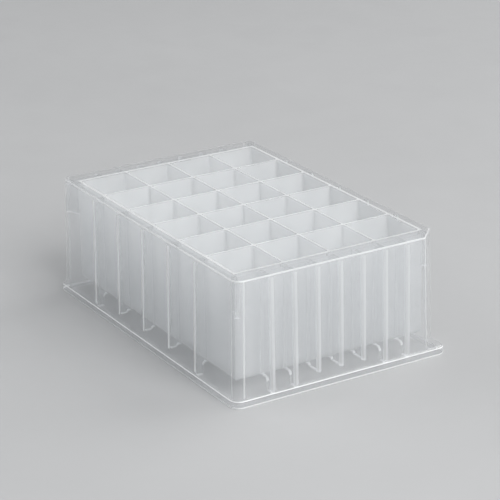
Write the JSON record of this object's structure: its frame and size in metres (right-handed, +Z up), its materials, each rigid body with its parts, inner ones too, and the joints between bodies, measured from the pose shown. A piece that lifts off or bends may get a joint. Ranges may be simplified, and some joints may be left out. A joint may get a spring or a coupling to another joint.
{
  "type": "square-well deep-well storage plate",
  "caption": "Open-topped deep-well sample storage plate with square wells, a ribbed skirt, a base flange and one cut-off key corner, in translucent plastic.",
  "frame": {"origin": "centre of the footprint, on the plane of the underside that the plate stands on", "axes": "+X along the long side across the six columns, +Y along the short side across the four rows, +Z up out of the wells; the cut-off key corner is at +X +Y"},
  "size_m": [0.1278, 0.0854, 0.044],
  "materials": {
    "natural_polypropylene": "satin, milky translucent, unpigmented"
  },
  "bodies": {
    "root": {"base_flange_front": "natural_polypropylene", "base_flange_back": "natural_polypropylene", "base_flange_left": "natural_polypropylene", "base_flange_right": "natural_polypropylene", "base_flange_key_ledge": "natural_polypropylene", "skirt_wall_front": "natural_polypropylene", "skirt_wall_back": "natural_polypropylene", "skirt_wall_left": "natural_polypropylene", "skirt_wall_right": "natural_polypropylene", "skirt_corner_front_left": "natural_polypropylene", "skirt_corner_front_right": "natural_polypropylene", "skirt_corner_back_left": "natural_polypropylene", "skirt_corner_key": "natural_polypropylene", "deck_front": "natural_polypropylene", "deck_back": "natural_polypropylene", "deck_left": "natural_polypropylene", "deck_right": "natural_polypropylene", "well_block_wall_front": "natural_polypropylene", "well_block_wall_back": "natural_polypropylene", "well_block_wall_left": "natural_polypropylene", "well_block_wall_right": "natural_polypropylene", "divider_between_columns_1_2": "natural_polypropylene", "divider_between_columns_2_3": "natural_polypropylene", "divider_between_columns_3_4": "natural_polypropylene", "divider_between_columns_4_5": "natural_polypropylene", "divider_between_columns_5_6": "natural_polypropylene", "divider_between_rows_a_b": "natural_polypropylene", "divider_between_rows_b_c": "natural_polypropylene", "divider_between_rows_c_d": "natural_polypropylene", "well_bottom_a1": "natural_polypropylene", "well_bottom_a2": "natural_polypropylene", "well_bottom_a3": "natural_polypropylene", "well_bottom_a4": "natural_polypropylene", "well_bottom_a5": "natural_polypropylene", "well_bottom_a6": "natural_polypropylene", "well_bottom_b1": "natural_polypropylene", "well_bottom_b2": "natural_polypropylene", "well_bottom_b3": "natural_polypropylene", "well_bottom_b4": "natural_polypropylene", "well_bottom_b5": "natural_polypropylene", "well_bottom_b6": "natural_polypropylene", "well_bottom_c1": "natural_polypropylene", "well_bottom_c2": "natural_polypropylene", "well_bottom_c3": "natural_polypropylene", "well_bottom_c4": "natural_polypropylene", "well_bottom_c5": "natural_polypropylene", "well_bottom_c6": "natural_polypropylene", "well_bottom_d1": "natural_polypropylene", "well_bottom_d2": "natural_polypropylene", "well_bottom_d3": "natural_polypropylene", "well_bottom_d4": "natural_polypropylene", "well_bottom_d5": "natural_polypropylene", "well_bottom_d6": "natural_polypropylene", "end_ribs_left": "natural_polypropylene", "end_ribs_right": "natural_polypropylene", "side_ribs_front": "natural_polypropylene", "side_ribs_back": "natural_polypropylene", "corner_webs": "natural_polypropylene"}
  },
  "joints": []
}
